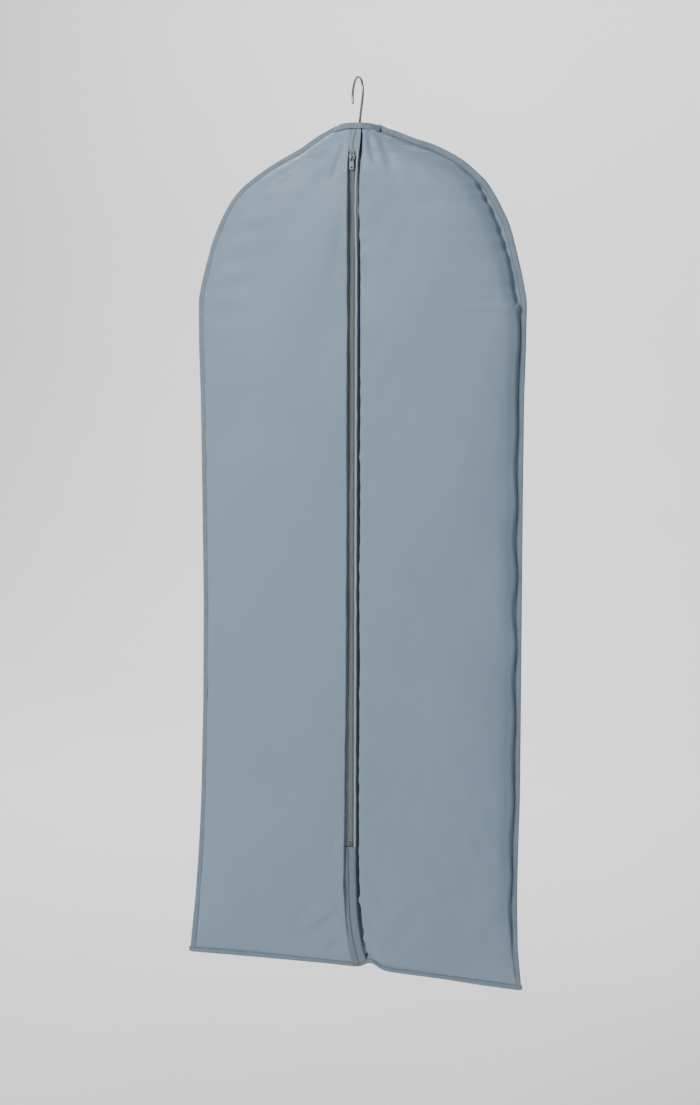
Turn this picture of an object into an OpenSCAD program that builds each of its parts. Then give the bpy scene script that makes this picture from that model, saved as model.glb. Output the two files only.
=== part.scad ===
// Hanging garment bag on its hanger. Millimetres, +Z up, front towards -Y.
// The origin is the point of the hook that rests on top of the rail.
// "Drop" is a distance measured down from the top of the bag's neck.

/* [Hook] */
// Inner radius of the hook's bend
hook_inner_r = 25.5; // [20:0.5:28]
// Diameter of the hook's wire
wire_d = 3.8; // [3:0.1:4.4]
// How far the hook's plane is turned from square to the bag
hook_turn = 34; // [0:1:90]
// How far the bend runs on past its widest point, on the shank's side
hook_wrap = 22; // [18:1:30]
// How far below its widest point the free end of the hook stops
hook_tip_angle = 20; // [0:1:40]

/* [Hanger] */
// Half of the hanger's width, to the centre of its rounded tips
hanger_half_w = 192; // [170:1:195]
// Height lost from the hub to the tip
hanger_fall = 88; // [80:1:100]
// Height of an arm beside the hub
arm_h = 36; // [30:1:40]
// Front-to-back thickness of the hanger
hanger_t = 11; // [9:0.5:12]

/* [Bag] */
// Height of the neck's top edge, below the rail
neck_z = -71; // [-76:1:-70]
// Length from the neck to the hem
bag_len = 1370; // [1300:5:1450]
// Half width of the neck's top edge
neck_half_w = 36; // [34:1:40]
// Half width at the end of the shoulder curve
shoulder_half_w = 273; // [265:1:285]
// Drop of the shoulder curve's end
shoulder_drop = 285; // [270:1:300]
// Half width at the hem
hem_half_w = 287; // [280:1:300]
// Fullness of the front, at the middle
front_full = 36; // [34:1:40]
// Fullness of the back, at the middle
back_full = 28; // [24:1:34]
// Thickness of the modelled fabric
cloth_t = 1.0; // [0.6:0.1:1.2]
// Width of the folded binding tape
binding_w = 9; // [7:0.5:11]
// Thickness of one layer of binding tape
binding_t = 0.8; // [0.5:0.1:1]

/* [Zip] */
// Drop of the zip's top end
zip_top = 46; // [44:1:50]
// Length of the zip chain
zip_len = 1109; // [1000:1:1130]
// Depth of the tape's mid plane, in front of the bag's middle
tape_y = 26; // [25:0.5:27]
// Width of one tape
tape_w = 13; // [10:0.5:14]
// Height of the coil above the tape
coil_h = 2.2; // [1.6:0.1:2.4]
// Width of the closed chain
chain_w = 6.4; // [5:0.1:6.6]
// How far the zip's line leans to the right over the bag's length
lean_x = 6.5; // [0:0.5:8]
// Length of the pull tab
tab_len = 18; // [15:1:24]

/* [Hidden] */
$fn = 48;

fabric = "#8796a3";
fabric_dark = "#76838f";
zip_grey = "#6b7273";
metal = "#a9adb0";
steel = "#b4b6b8";
plastic = "#e4e2dc";

// Hook: bend radius at the wire's middle, then a straight run and a small bend into the shank
wire_r = wire_d / 2;
bend_r = hook_inner_r + wire_r;
bend_z = -hook_inner_r;
foot_r = 30;
run_lap = 0.8;
run_step = 0.06;
run_x = bend_r * cos(hook_wrap) - foot_r * (1 - cos(hook_wrap));
run_len = run_x / sin(hook_wrap);
run_z = bend_z - bend_r * sin(hook_wrap);
shank_top = run_z - run_len * cos(hook_wrap) - foot_r * sin(hook_wrap);
shank_gap = 0.05;
shoulder_h = 1.4;

// Hanger: the hub hangs under the shank's top, with a window for the nut
collar_h = 4;
collar_r = 6;
hub_top = shank_top - collar_h - 1;
bore_len = 16;
window_w = 14;
window_h = 12;
nut_h = 4;
nut_r = 4.6;
nut_gap = 0.3;
shank_end = hub_top - bore_len - nut_h - 2;
arm_taper = 15;
arm_steps = 24;

// Bag outline, as [half width, drop]
shoulder_curve = [
    [neck_half_w, 0], [156, 72], [238, 48], [shoulder_half_w, shoulder_drop]
];
hem_seam = bag_len - binding_w;
side_curve = [
    [shoulder_half_w, shoulder_drop], [266, 640], [266, 1090], [hem_half_w, hem_seam]
];
shoulder_rows = 12;
side_rows = 18;
panel_cols = 10;
back_cols = 7;
edge_in = binding_t;
neck_seam_x = neck_half_w - 6;
neck_edge_x = neck_half_w - 2.5;
neck_full = 17;
neck_rise = 200;
hem_fall = 1100;

// Channel down the front: left edge, placket, pleat gap and right edge
left_edge = -6.2;
right_edge = 16;
placket_in = 5.4;
placket_out = 9;
pleat_floor = 0.36;
neck_channel = 15.4;
strip_t = 0.8;
wall_lift = 0.8;
hem_sway = 11;
lean_angle = atan(lean_x / bag_len);
sway_from = 1250;
strip_end = 1345;
coil_gap = 0.6;
tape_t = 0.8;
zip_bottom = zip_top + zip_len;

// Slider, in the zip's own depth
slider_l = 12;
slider_half_w = 4.6;
plate_t = 1.3;
flange_t = 0.6;
slider_top = neck_z - zip_top - 4;
coil_front = -tape_y - tape_t / 2 - coil_h;
plate_back = coil_front - 0.5;
plate_front = plate_back - plate_t;
back_plate_y = -tape_y + tape_t / 2 + 0.5;
post_w = 0.8;
bar_r = 0.6;
bar_y = plate_front - 1.0;
bar_z = slider_top - 6.4;
bridge_w = 2.4;
bridge_out = 3.2;
bridge_wall = 1.1;
bridge_top = slider_top - 2.6;
bridge_low = slider_top - 10;
tab_w = 7.6;
eyelet_w = 4;
eyelet_l = 5.4;

function bez(p, t) =
    pow(1 - t, 3) * p[0] + 3 * pow(1 - t, 2) * t * p[1]
    + 3 * (1 - t) * t * t * p[2] + pow(t, 3) * p[3];

// A point of the right-hand outline: s runs from 0 at the neck, through 1, to 2 at the hem
function outline(s) = s <= 1 ? bez(shoulder_curve, s) : bez(side_curve, s - 1);

function unit(v) = v / norm(v);

// The same point moved into the bag, square to the outline
function inset(s, n) =
    let (
        e = 0.01,
        t = unit(outline(min(2, s + e)) - outline(max(0, s - e)))
    )
    outline(s) + n * [-t[1], t[0]];

function ease(t) = let (c = max(0, min(1, t))) c * c * (3 - 2 * c);

// Share of the full depth left at a drop: it closes towards the hem
function hem_close(drop) =
    let (t = max(0, (drop - hem_fall) / (hem_seam - hem_fall)))
    1 - pow(min(t, 1), 2.5);

// How far the front stands out at its middle
function front_depth(drop) =
    let (t = max(0, 1 - drop / neck_rise))
    (neck_full + (front_full - neck_full) * (1 - pow(t, 5))) * hem_close(drop);

function back_depth(drop) =
    let (t = max(0, 1 - drop / neck_rise))
    (neck_full + (back_full - neck_full) * (1 - pow(t, 3))) * hem_close(drop);

// Rounded section of the bag: 1 at the middle, 0 at the seam
function puff(t) = pow(max(0, 1 - pow(min(abs(t), 1), 2.4)), 0.62);

// Depth of the channel's floor, where the zip lies
function channel(drop) =
    drop < zip_top
        ? neck_channel + (tape_y - neck_channel) * (1 - pow(1 - drop / zip_top, 2))
        : drop <= zip_bottom + 8
            ? tape_y
            : tape_y * hem_close(drop) / hem_close(zip_bottom + 8);

// Sideways place of the channel: it leans, and sways more near the hem
function sway(drop) =
    drop * tan(lean_angle) + hem_sway * ease((drop - sway_from) / (hem_seam - sway_from));

// Turns the straight parts of the zip to the channel's lean
module leaning() {
    translate([0, 0, neck_z])
        rotate([0, -lean_angle, 0])
            translate([0, 0, -neck_z])
                children();
}

// Rows of the panels: [seam x, seam drop, edge x, edge drop]
function panel_row(s) =
    let (seam = inset(s, binding_w), edge = inset(s, edge_in))
    [seam[0], seam[1], edge[0], edge[1]];

shoulder_s = [for (i = [0 : shoulder_rows - 1]) i / shoulder_rows];
side_s = [for (i = [0 : side_rows - 1]) 1 + i / side_rows];
outline_s = concat(shoulder_s, side_s, [1.985]);
hem_seam_row = [hem_half_w - binding_w, hem_seam, hem_half_w - edge_in, hem_seam];
hem_edge_row = [
    hem_half_w - binding_w, bag_len - edge_in, hem_half_w - edge_in, bag_len - edge_in
];
rows = concat(
    [[neck_seam_x, edge_in, neck_edge_x, edge_in]],
    [for (s = outline_s) panel_row(s)],
    [hem_seam_row, hem_edge_row]
);

// Columns crowd towards the seam, where the cloth turns hardest
function column(i, n) = 1 - pow(1 - i / n, 1.6);

function middle(l) = [for (c = [0 : 2]) sum([for (p = l) p[c]]) / len(l)];

function sum(v, i = 0) = i < len(v) ? v[i] + sum(v, i + 1) : 0;

// Twice the area of a closed loop, as a vector square to it
function turn_of(l) =
    let (pairs = [for (i = [0 : len(l) - 1]) cross(l[i], l[(i + 1) % len(l)])])
    [for (c = [0 : 2]) sum([for (q = pairs) q[c]])];

function reversed(l) = [for (i = [len(l) - 1 : -1 : 0]) l[i]];

// Joins closed loops of equal length into one solid, turning them all the same way round
module skin(given) {
    backwards = turn_of(given[0]) * (middle(given[1]) - middle(given[0])) > 0;
    loops = backwards ? [for (l = given) reversed(l)] : given;
    n = len(loops[0]);
    last = len(loops) - 1;
    sides = [
        for (k = [0 : last - 1], i = [0 : n - 1])
            let (a = k * n + i, b = k * n + (i + 1) % n)
            each [[a, b, b + n], [a, b + n, a + n]]
    ];
    // each loop is a strip that doubles back, so its end closes across the strip
    first_cap = [
        for (i = [0 : n / 2 - 2])
            let (j = n - 1 - i)
            each [[j, j - 1, i + 1], [j, i + 1, i]]
    ];
    last_cap = [for (f = first_cap) [f[2] + last * n, f[1] + last * n, f[0] + last * n]];
    polyhedron([for (l = loops) each l], concat(sides, first_cap, last_cap));
}

// One row of a front panel, from its rolled centre edge to the flange and back
function front_loop(row, side) =
    let (
        drop = row[1],
        full = front_depth(drop),
        flat = drop >= hem_seam,
        centre = (side > 0 ? right_edge : -left_edge) + side * sway(drop),
        floor_y = flat
            ? cloth_t * 0.5
            : min(channel(drop) + tape_t / 2 + wall_lift, full + cloth_t * 0.5),
        outer = [
            for (i = [0 : panel_cols])
                let (x = centre + (row[0] - centre) * column(i, panel_cols))
                [side * x, -cloth_t - full * puff(x / row[0]), neck_z - drop]
        ],
        inner = [for (p = outer) [p[0], p[1] + cloth_t, p[2]]],
        turn = side * (centre + cloth_t),
        first = outer[0],
        in_first = [turn, -full * puff((centre + cloth_t) / row[0]), neck_z - drop]
    )
    concat(
        [[first[0], -floor_y, first[2]]],
        outer,
        [
            [side * row[2], -cloth_t, neck_z - row[3]],
            [side * row[2], 0, neck_z - row[3]]
        ],
        [for (i = [panel_cols : -1 : 1]) inner[i]],
        [in_first, [turn, -floor_y, first[2]]]
    );

module front_panel(side) {
    skin([for (r = rows) front_loop(r, side)]);
}

function back_loop(row) =
    let (
        drop = row[1],
        full = back_depth(drop),
        n = back_cols,
        half = [
            for (i = [1 : n])
                let (x = row[0] * column(i, n))
                [x, cloth_t + full * puff(x / row[0]), neck_z - drop]
        ],
        left = [for (i = [n - 1 : -1 : 0]) [-half[i][0], half[i][1], half[i][2]]],
        outer = concat(
            [[-row[2], cloth_t, neck_z - row[3]]],
            left,
            [[0, cloth_t + full, neck_z - drop]],
            half,
            [[row[2], cloth_t, neck_z - row[3]]]
        )
    )
    concat(outer, reversed([for (p = outer) p - [0, cloth_t, 0]]));

// A folded tape seen end on, as [inset, y]
function fold_section(w) =
    let (y0 = cloth_t, y1 = cloth_t + binding_t)
    [[w, -y1], [0, -y1], [0, y1], [w, y1], [w, y0], [edge_in, y0], [edge_in, -y0], [w, -y0]];

module side_binding(side) {
    skin([
        for (s = concat(outline_s, [2]))
            [
                for (q = fold_section(binding_w - 0.2))
                    let (p = inset(s, q[0]))
                    [side * p[0], q[1], neck_z - min(p[1], hem_seam)]
            ]
    ]);
}

// A flat strip of the channel's floor between two drops
module floor_strip(x0, x1, from, to, steps) {
    skin([
        for (k = [0 : steps])
            let (
                drop = from + (to - from) * k / steps,
                y = channel(drop),
                z = neck_z - drop,
                a = x0 + sway(drop),
                b = x1 + sway(drop)
            )
            [
                [a, -y - strip_t / 2, z], [a, -y + strip_t / 2, z],
                [b, -y + strip_t / 2, z], [b, -y - strip_t / 2, z]
            ]
    ]);
}

module hook_bend() {
    // in the hook's own plane: x across the hook, z up
    translate([0, 0, bend_z])
        rotate([90, 0, 0])
            rotate([0, 0, -hook_tip_angle])
                rotate_extrude(angle = 180 + hook_wrap + hook_tip_angle)
                    translate([bend_r, 0])
                        circle(wire_r);
    translate([-bend_r * cos(hook_wrap), 0, run_z])
        rotate([0, 180 - hook_wrap, 0])
            translate([0, 0, -run_lap])
                cylinder(h = run_len + 2 * run_lap, r = wire_r - run_step);
    translate([-foot_r, 0, shank_top])
        rotate([90, 0, 0])
            rotate_extrude(angle = hook_wrap)
                translate([foot_r, 0])
                    circle(wire_r);
}

module hook_wire() {
    color(steel) {
        rotate([0, 0, 90 + hook_turn])
            hook_bend();
        translate([0, 0, shank_end])
            cylinder(h = shank_top - shank_end, r = wire_r);
        // swaged shoulder that rides on the collar
        translate([0, 0, shank_top - 0.9])
            cylinder(h = shoulder_h, r = wire_r + 1);
    }
}

module swivel_nut() {
    color(steel)
        translate([0, 0, hub_top - bore_len - nut_gap - nut_h])
            difference() {
                cylinder(h = nut_h, r = nut_r, $fn = 6);
                translate([0, 0, -1])
                    cylinder(h = nut_h + 2, r = wire_r);
            }
}

module hanger_collar() {
    color(metal)
        translate([0, 0, hub_top])
            difference() {
                cylinder(h = collar_h, r1 = collar_r, r2 = collar_r - 1.5);
                translate([0, 0, -1])
                    cylinder(h = collar_h + 2, r = wire_r + shank_gap);
            }
}

function arm_top(x) = hub_top - hanger_fall * pow(abs(x) / hanger_half_w, 1.3);
function arm_height(x) = arm_h - arm_taper * abs(x) / hanger_half_w;

// Both arms and their rounded tips, as one closed outline
module hanger_outline() {
    tip_r = arm_height(hanger_half_w) / 2;
    tip_z = arm_top(hanger_half_w) - tip_r;
    xs = [for (k = [-arm_steps : arm_steps]) hanger_half_w * k / arm_steps];
    tip = [for (a = [75 : -15 : -75]) [hanger_half_w + tip_r * cos(a), tip_z + tip_r * sin(a)]];
    polygon(concat(
        [for (x = xs) [x, arm_top(x)]],
        tip,
        reversed([for (x = xs) [x, arm_top(x) - arm_height(x)]]),
        reversed([for (p = tip) [-p[0], p[1]]])
    ));
}

module hanger_body() {
    color(plastic)
        difference() {
            rotate([90, 0, 0])
                translate([0, 0, -hanger_t / 2])
                    linear_extrude(hanger_t)
                        hanger_outline();
            translate([-window_w / 2, -hanger_t, hub_top - bore_len - window_h])
                cube([window_w, 2 * hanger_t, window_h]);
            translate([0, 0, hub_top - bore_len - 1])
                cylinder(h = bore_len + 2, r = wire_r + shank_gap);
        }
}

module back_panel() {
    color(fabric) skin([for (r = reversed(rows)) back_loop(r)]);
}

module front_panel_left() {
    color(fabric) front_panel(-1);
}

module front_panel_right() {
    color(fabric) front_panel(1);
}

// Deep fold between the placket and the right panel
module pleat_right() {
    x0 = placket_out + 0.1;
    x1 = right_edge - 0.1;
    t = strip_t;
    steps = 30;
    color(fabric_dark)
        skin([
            for (k = [0 : steps])
                let (
                    drop = 12 + (strip_end - 12) * k / steps,
                    front = -channel(drop) + 0.6,
                    back = -channel(drop) * pleat_floor,
                    z = neck_z - drop,
                    a = x0 + sway(drop),
                    b = x1 + sway(drop)
                )
                [
                    [a, front, z], [a, back, z], [b, back, z], [b, front, z],
                    [b - t, front, z], [b - t, back - t, z],
                    [a + t, back - t, z], [a + t, front, z]
                ]
        ]);
}

// Folded edge of cloth that lies beside the chain
module placket_strip() {
    y0 = tape_y + tape_t / 2;
    color(fabric)
        leaning()
            translate([placket_in, -y0 - 1.6, neck_z - zip_bottom - 6])
                cube([placket_out - placket_in, 1.6, zip_len + 5]);
}

module neck_strip() {
    color(fabric) floor_strip(left_edge - 3, placket_out, 3, zip_top - 0.2, 8);
}

module hem_strip() {
    color(fabric) floor_strip(left_edge - 3, placket_out, zip_bottom + 8.2, strip_end, 16);
}

// How far a layer laid on the neck stands from the bag's middle
function neck_y(x, drop, side) =
    let (
        full = side > 0 ? back_depth(drop) : front_depth(drop),
        w = drop > edge_in ? rows[1][0] : neck_seam_x
    )
    cloth_t + 0.15 + (full + 0.5) * puff(x / w);

// Tape folded over the neck's edge, front and back, left open for the hook
module neck_binding() {
    steps = 16;
    low = binding_w - 1;
    turn_in = cloth_t + 1;
    for (side = [-1, 1])
        color(fabric_dark)
            skin([
                for (k = [-steps : steps])
                    let (
                        x = neck_seam_x * k / steps * 0.96,
                        y = side * neck_y(x, edge_in, side),
                        y_low = side * neck_y(x, low, side),
                        out = side * binding_t
                    )
                    [
                        [x, y_low + out, neck_z - low], [x, y + out, neck_z],
                        [x, y - side * turn_in, neck_z], [x, y - side * turn_in, neck_z - edge_in],
                        [x, y, neck_z - edge_in], [x, y_low, neck_z - low]
                    ]
            ]);
}

module binding_left() {
    color(fabric_dark) side_binding(-1);
}

module binding_right() {
    color(fabric_dark) side_binding(1);
}

module hem_binding() {
    section = [for (q = fold_section(binding_w - 0.2)) [q[1], q[0]]];
    color(fabric_dark)
        translate([-hem_half_w, 0, neck_z - bag_len])
            rotate([90, 0, 90])
                linear_extrude(2 * hem_half_w)
                    polygon(section);
}

module zip_tape(x0, x1) {
    color(zip_grey)
        leaning()
            translate([x0, -tape_y - tape_t / 2, neck_z - zip_bottom - 8])
                cube([x1 - x0, tape_t, zip_len + 8]);
}

module zip_tape_left() {
    zip_tape(-tape_w, -coil_gap - 0.1);
}

// Narrower, because the placket's pleat turns in beside it
module zip_tape_right() {
    zip_tape(coil_gap + 0.1, placket_out);
}

module zip_coil(side) {
    w = chain_w / 2 - coil_gap;
    color(zip_grey)
        leaning()
            translate([side > 0 ? coil_gap : -coil_gap - w, coil_front, neck_z - zip_bottom])
                cube([w, coil_h, zip_len - 3]);
}

module zip_coil_left() {
    zip_coil(-1);
}

module zip_coil_right() {
    zip_coil(1);
}

// Two short blocks that stop the slider at the top of the chain
module zip_top_stops() {
    w = chain_w / 2 - coil_gap;
    z = neck_z - zip_top - 2.9;
    color(metal)
        leaning()
            for (side = [-1, 1])
                translate([side > 0 ? coil_gap : -coil_gap - w, coil_front - 0.3, z])
                    cube([w, coil_h + 0.3, 2.4]);
}

module zip_bottom_stop() {
    color(metal)
        leaning()
            translate([-chain_w / 2, coil_front - 0.3, neck_z - zip_bottom - 4])
                cube([chain_w, coil_h + 0.3, 3.8]);
}

// Two plates joined by a thin post, with flanges that close round the chain
module slider_body() {
    color(metal)
        leaning()
            translate([0, 0, slider_top - slider_l]) {
                translate([-slider_half_w, plate_front, 0])
                    cube([2 * slider_half_w, plate_t, slider_l]);
                for (x = [-slider_half_w, slider_half_w - flange_t])
                    translate([x, plate_back, 0])
                        cube([flange_t, coil_h + 0.1, slider_l]);
                translate([-slider_half_w + 0.4, back_plate_y, 0])
                    cube([2 * slider_half_w - 0.8, plate_t - 0.1, slider_l]);
                translate([-post_w / 2, plate_back, slider_l - 3.4])
                    cube([post_w, back_plate_y - plate_back, 3.2]);
            }
}

// Arch that the pull tab hangs from
module slider_bridge() {
    span = bridge_top - bridge_low;
    color(metal)
        leaning()
            translate([-bridge_w / 2, 0, 0])
                rotate([90, 0, 90])
                    linear_extrude(bridge_w)
                        difference() {
                            translate([plate_front - bridge_out, bridge_low])
                                square([bridge_out, span]);
                            translate([
                                plate_front - bridge_out + bridge_wall,
                                bridge_low + bridge_wall
                            ])
                                square([bridge_out, span - 2 * bridge_wall]);
                        }
}

module tab_outline() {
    arm = (tab_w - 1 - eyelet_w) / 2;
    difference() {
        union() {
            translate([-eyelet_w / 2 - arm, -eyelet_l - 2])
                square([eyelet_w + 2 * arm, eyelet_l + 2]);
            translate([-tab_w / 2, -tab_len + tab_w / 2])
                square([tab_w, tab_len - tab_w / 2 - eyelet_l - 0.8]);
            translate([0, -tab_len + tab_w / 2])
                circle(tab_w / 2);
        }
        translate([-eyelet_w / 2, -eyelet_l])
            square([eyelet_w, eyelet_l + 1]);
        translate([0, -tab_len + 4.6])
            circle(1.9);
    }
}

module pull_tab() {
    color(metal)
        leaning() {
            translate([-(tab_w - 1) / 2, bar_y, bar_z])
                rotate([0, 90, 0])
                    cylinder(h = tab_w - 1, r = bar_r);
            translate([0, bar_y + bar_r, bar_z])
                rotate([90, 0, 0])
                    linear_extrude(2 * bar_r)
                        tab_outline();
        }
}

hook_wire();
swivel_nut();
hanger_collar();
hanger_body();
back_panel();
front_panel_left();
front_panel_right();
pleat_right();
placket_strip();
neck_strip();
hem_strip();
neck_binding();
binding_left();
binding_right();
hem_binding();
zip_tape_left();
zip_tape_right();
zip_coil_left();
zip_coil_right();
zip_top_stops();
zip_bottom_stop();
slider_body();
slider_bridge();
pull_tab();
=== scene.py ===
import math

import bmesh
import bpy
import numpy as np
from mathutils import Matrix, Vector


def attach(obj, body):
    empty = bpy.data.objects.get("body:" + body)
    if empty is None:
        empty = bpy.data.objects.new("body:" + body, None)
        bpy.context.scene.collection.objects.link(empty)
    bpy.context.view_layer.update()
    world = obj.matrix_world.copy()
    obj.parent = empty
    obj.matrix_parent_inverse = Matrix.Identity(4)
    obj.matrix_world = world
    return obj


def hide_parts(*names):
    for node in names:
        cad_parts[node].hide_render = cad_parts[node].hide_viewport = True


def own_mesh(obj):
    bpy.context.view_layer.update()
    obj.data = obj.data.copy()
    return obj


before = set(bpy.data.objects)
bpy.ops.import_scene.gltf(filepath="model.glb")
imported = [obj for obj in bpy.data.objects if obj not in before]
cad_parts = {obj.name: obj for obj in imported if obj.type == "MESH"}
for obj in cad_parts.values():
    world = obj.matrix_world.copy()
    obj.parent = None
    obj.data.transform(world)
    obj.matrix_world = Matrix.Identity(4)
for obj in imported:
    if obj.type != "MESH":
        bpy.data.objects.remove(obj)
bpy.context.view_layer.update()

# Everything below is in millimetres until a mesh is made. "Drop" is measured down from the
# neck's top edge, and side is +1 for the right of the zip and -1 for the left.
MM = 0.001

# Bag, as in the CAD model
NECK_Z = -71.0
HEM_DROP = 1370.0
BINDING_W = 9.0
CLOTH_T = 0.5
FRONT_FULL = 36.0
BACK_FULL = 28.0
NECK_FULL = 17.0
NECK_RISE = 200.0
HEM_FALL = 1100.0
HEM_SEAM = 1361.0

# Where a panel meets the seam and where its flange ends, in from the outline
SEAM_INSET = BINDING_W - 0.5
FLANGE_INSET = 1.2
FLANGE_DEPTH = CLOTH_T / 2 + 0.1

# Channel, zip and slider, as in the CAD model
LEFT_EDGE = -6.2
RIGHT_EDGE = 16.0
PLACKET = (5.4, 9.0)
PLACKET_THICK = 1.5
FLAP_LEFT = LEFT_EDGE - 9
FLAP_END = 1366.0
BAND_RIGHT = -4.0
PLEAT_FLOOR = 0.36
NECK_CHANNEL = 15.4
ZIP_TOP = 46.0
ZIP_BOTTOM = 1155.0
STRIP_CHANGE = ZIP_BOTTOM + 6
TAPE_Y = 26.0
TAPE_FRONT = TAPE_Y + 0.4
TAPE_LEFT = -13.0
TAPE_THICK = 0.7
TAPE_STITCH_X = 4.1
HEM_SWAY = 11.0
SWAY_FROM = 1230.0
LEAN = 6.5 / 1370
SLIDER_TOP = -121.0
SLIDER_LEN = 12.0
COIL_FRONT = -28.6
PLATE_BACK = COIL_FRONT - 0.5
PLATE_FRONT = -30.4
BAR_Y, BAR_Z = -31.4, -127.4
TAB_LEN = 18.0

# Hook, as in the CAD model
HOOK_INNER_R = 25.5
WIRE_R = 1.9
HOOK_TURN = 34.0
HOOK_WRAP = 22.0
HOOK_TIP = 20.0
FOOT_R = 30.0
SHANK_LEN = 27.0

# Sewing thread: length of a stitch, gap between two, radius
SEAM_STITCH = (2.8, 1.0, 0.28)
TAPE_STITCH = (2.0, 0.9, 0.26)

# Weave of the bag's cloth: scale of its wave texture, and bump depth in metres
WEAVE_THREADS = 700
WEAVE_DEPTH = 0.00006

# Outline of the bag: [half width, drop] from the neck, round the shoulder and down the side
OUTLINE = {
    1: [
        (36, 0), (55, 9), (94, 25), (120, 33), (146, 45), (174, 61), (191, 76), (209, 92),
        (219, 107), (229, 123), (237, 139), (245, 154), (250.5, 169), (255, 185), (259, 200),
        (263, 216), (267, 231), (270.5, 246), (273.5, 262), (277, 278), (276.6, 354),
        (275, 432), (275.6, 588), (276.8, 746), (278, 906), (279, 1068), (277.5, 1150),
        (277, 1232), (279, 1314), (286, 1381),
    ],
    -1: [
        (36, 1), (52, 8), (74, 22), (96, 36), (128, 52), (155, 67), (179, 83), (198, 98),
        (212, 114), (222, 130), (231, 146), (238, 162), (245, 178), (250, 194), (254.5, 210),
        (259, 226), (263.5, 242), (267, 258), (270, 274), (269.4, 356), (266.5, 438),
        (264, 603), (262, 770), (263, 939), (265, 1025), (267, 1110), (271.5, 1197),
        (278.5, 1284), (283.5, 1329), (288, 1374),
    ],
}
ROW_COUNT = 330
FACE_COLS = 80


def ease(t):
    """0 to 1, soft at both ends."""
    c = np.clip(t, 0, 1)
    return c * c * (3 - 2 * c)


# ---------------------------------------------------------------- shape of the bag

def hem_close(drop):
    """Share of the fullness that is left as the bag flattens towards the hem."""
    t = np.clip((np.asarray(drop, float) - HEM_FALL) / (HEM_SEAM - HEM_FALL), 0, 1)
    return 1 - t ** 2.5


def front_depth(drop):
    t = np.clip(1 - np.asarray(drop, float) / NECK_RISE, 0, 1)
    return (NECK_FULL + (FRONT_FULL - NECK_FULL) * (1 - t ** 5)) * hem_close(drop)


def back_depth(drop):
    t = np.clip(1 - np.asarray(drop, float) / NECK_RISE, 0, 1)
    return (NECK_FULL + (BACK_FULL - NECK_FULL) * (1 - t ** 3)) * hem_close(drop)


def puff(t):
    """Share of the full depth, for t from 0 on the centre line to 1 at the seam."""
    return np.clip(1 - np.clip(np.abs(t), 0, 1) ** 2.4, 0, 1) ** 0.62


def channel(drop):
    """Depth of the channel's floor, where the zip and the strips lie."""
    drop = np.asarray(drop, float)
    above = NECK_CHANNEL + (TAPE_Y - NECK_CHANNEL) * (1 - np.clip(1 - drop / ZIP_TOP, 0, 1) ** 2)
    below = TAPE_Y * hem_close(drop) / hem_close(ZIP_BOTTOM + 8)
    return np.where(drop < ZIP_TOP, above, np.where(drop <= ZIP_BOTTOM + 8, TAPE_Y, below))


def sway(drop, share=1.0):
    """Sideways place of the channel: it leans, and sways more near the hem."""
    drop = np.asarray(drop, float)
    low = np.clip((drop - SWAY_FROM) / (HEM_SEAM - SWAY_FROM), 0, 1.05) ** 2.6
    return LEAN * drop + share * HEM_SWAY * low


def bend(drop):
    """Sideways pull on the right panel's edge at the neck and round the closed slider."""
    drop = np.asarray(drop, float)
    pushed = 1.2 * np.exp(-(((drop - 36) / 22) ** 2)) - 5 * np.exp(-((drop / 20) ** 2))
    return pushed - 2.8 * np.exp(-(((drop - 132) / 62) ** 2))


def strip_bend(drop):
    """The same pull on the strips' right edge, which bows out above the slider."""
    drop = np.asarray(drop, float)
    return 3.4 * np.exp(-(((drop - 24) / 34) ** 2)) - 2.0 * np.exp(-(((drop - 132) / 62) ** 2))


def leaned(points):
    """Turns the straight parts of the zip to the channel's lean."""
    points = np.asarray(points, float)
    a = math.atan(LEAN)
    x, z = points[..., 0], points[..., 2] - NECK_Z
    turned = points.copy()
    turned[..., 0] = x * math.cos(a) - z * math.sin(a)
    turned[..., 2] = NECK_Z + x * math.sin(a) + z * math.cos(a)
    return turned


def hem_lift(x, drop):
    """The hem is drawn up where the pleat ends on it."""
    return 10 * np.exp(-((x - 34) / 15) ** 2) * ease((drop - 1270) / 100)


def smoothed(values, width):
    """Values blurred by a Gaussian, with both ends kept in place."""
    reach = int(3 * width)
    kernel = np.exp(-0.5 * (np.arange(-reach, reach + 1) / width) ** 2)
    kernel /= kernel.sum()
    padded = np.concatenate([
        2 * values[0] - values[reach:0:-1], values, 2 * values[-1] - values[-2:-reach - 2:-1]
    ])
    return np.convolve(padded, kernel, "valid")


def outline_rows(side, count):
    """Edge points and unit vectors into the bag, evenly spaced along one side's outline."""
    table = np.array(OUTLINE[side], float)
    run = np.concatenate([[0], np.cumsum(np.hypot(*np.diff(table, axis=0).T))])
    fine = np.arange(0, run[-1], 1.0)
    x = smoothed(np.interp(fine, run, table[:, 0]), 7)
    drop = smoothed(np.interp(fine, run, table[:, 1]), 7)
    at = np.linspace(0, len(fine) - 1, count)
    x, drop = (np.interp(at, np.arange(len(fine)), v) for v in (x, drop))
    tx, td = smoothed(np.gradient(x), 3), smoothed(np.gradient(drop), 3)
    size = np.hypot(tx, td)
    return x, drop, -td / size, tx / size, at


ROWS = {side: outline_rows(side, ROW_COUNT) for side in (1, -1)}


def inset(side, amount):
    """The outline of one side moved into the bag."""
    x, drop, nx, nd, _ = ROWS[side]
    return np.maximum(x + nx * amount, 4), np.maximum(drop + nd * amount, 0.8)


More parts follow.
